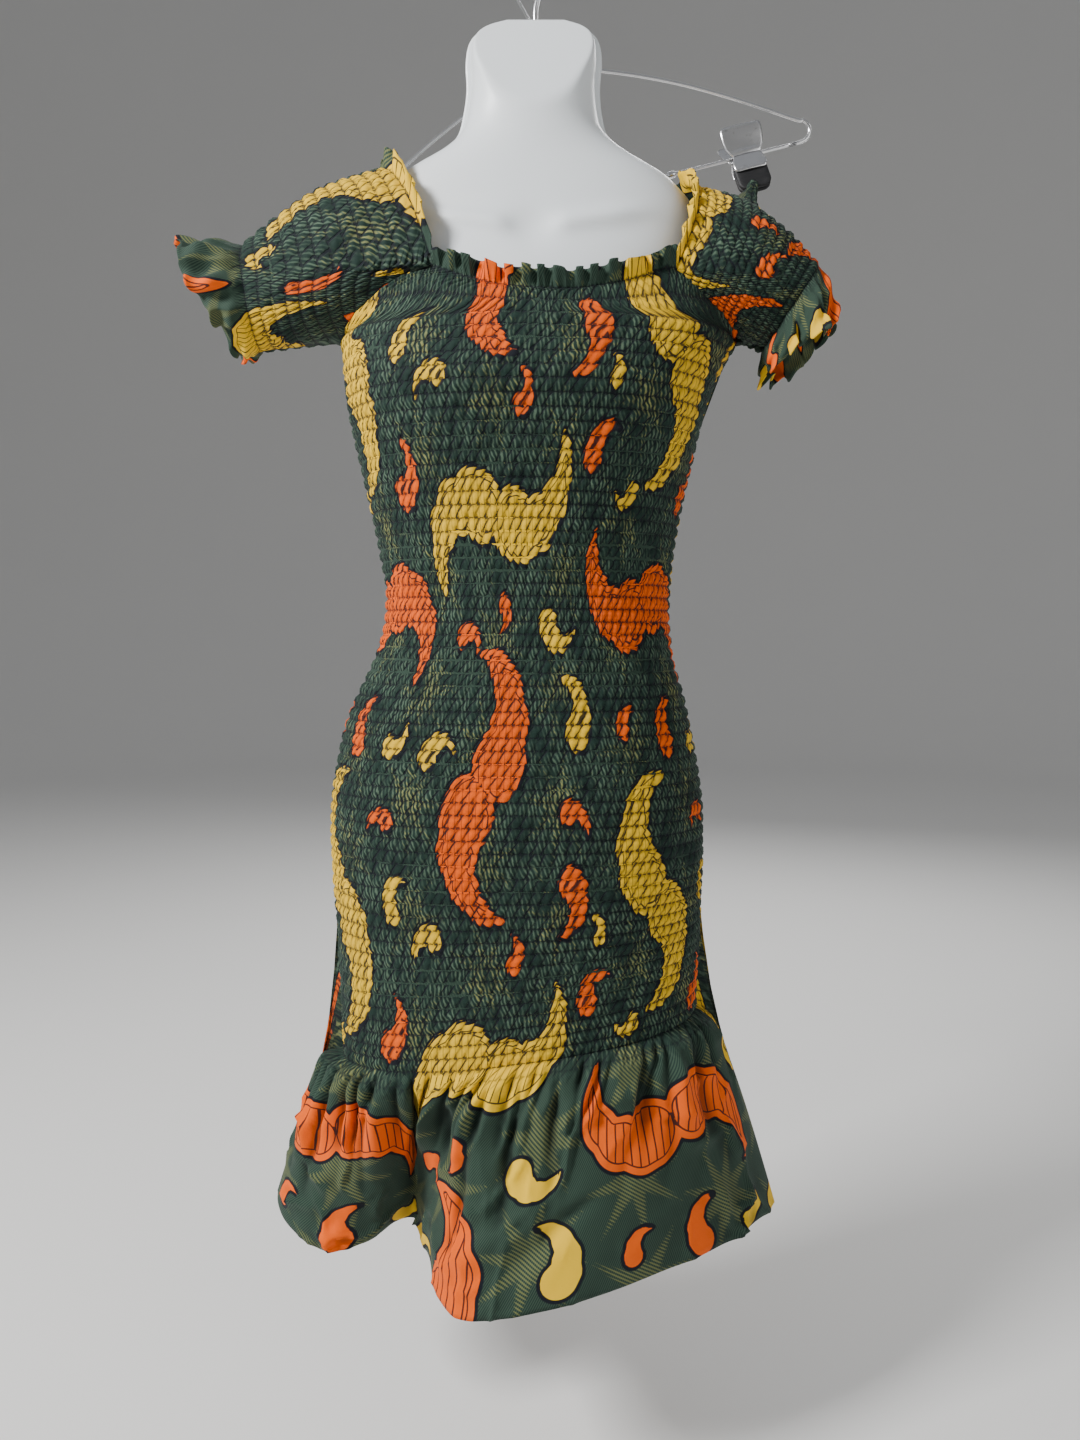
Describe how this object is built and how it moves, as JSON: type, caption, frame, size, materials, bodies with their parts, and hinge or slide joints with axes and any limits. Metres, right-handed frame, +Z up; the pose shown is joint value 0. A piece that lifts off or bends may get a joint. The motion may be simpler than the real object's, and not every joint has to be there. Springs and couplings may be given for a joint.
{
  "type": "shirred mini dress on a hanging half-body form with a wire clip hanger",
  "caption": "Off-shoulder cotton mini dress, elastic-shirred from neckline to a plain flounce, worn by a white hanging half-body form, with a tilted wire clip hanger behind it.",
  "frame": {"origin": "top of the rail both hooks hang from, at their common crown", "axes": "+Z up, the dress hangs below the origin; the front of the dress faces -Y; +X is to the right as seen from in front"},
  "size_m": [0.5653, 0.225, 1.162],
  "materials": {
    "wax_print": "printed cotton, gathered on elastic",
    "white_plastic": "smooth satin",
    "chrome": "plated, bright",
    "rubber": "matt"
  },
  "bodies": {
    "root": {"dress_front": "wax_print", "dress_back": "wax_print", "sleeve_left": "wax_print", "sleeve_right": "wax_print", "form_shell": "white_plastic", "form_hook": "chrome", "hanger_wire": "chrome", "clip_left": "chrome", "clip_left_pads": "rubber", "clip_right": "chrome", "clip_right_pads": "rubber"}
  },
  "joints": []
}
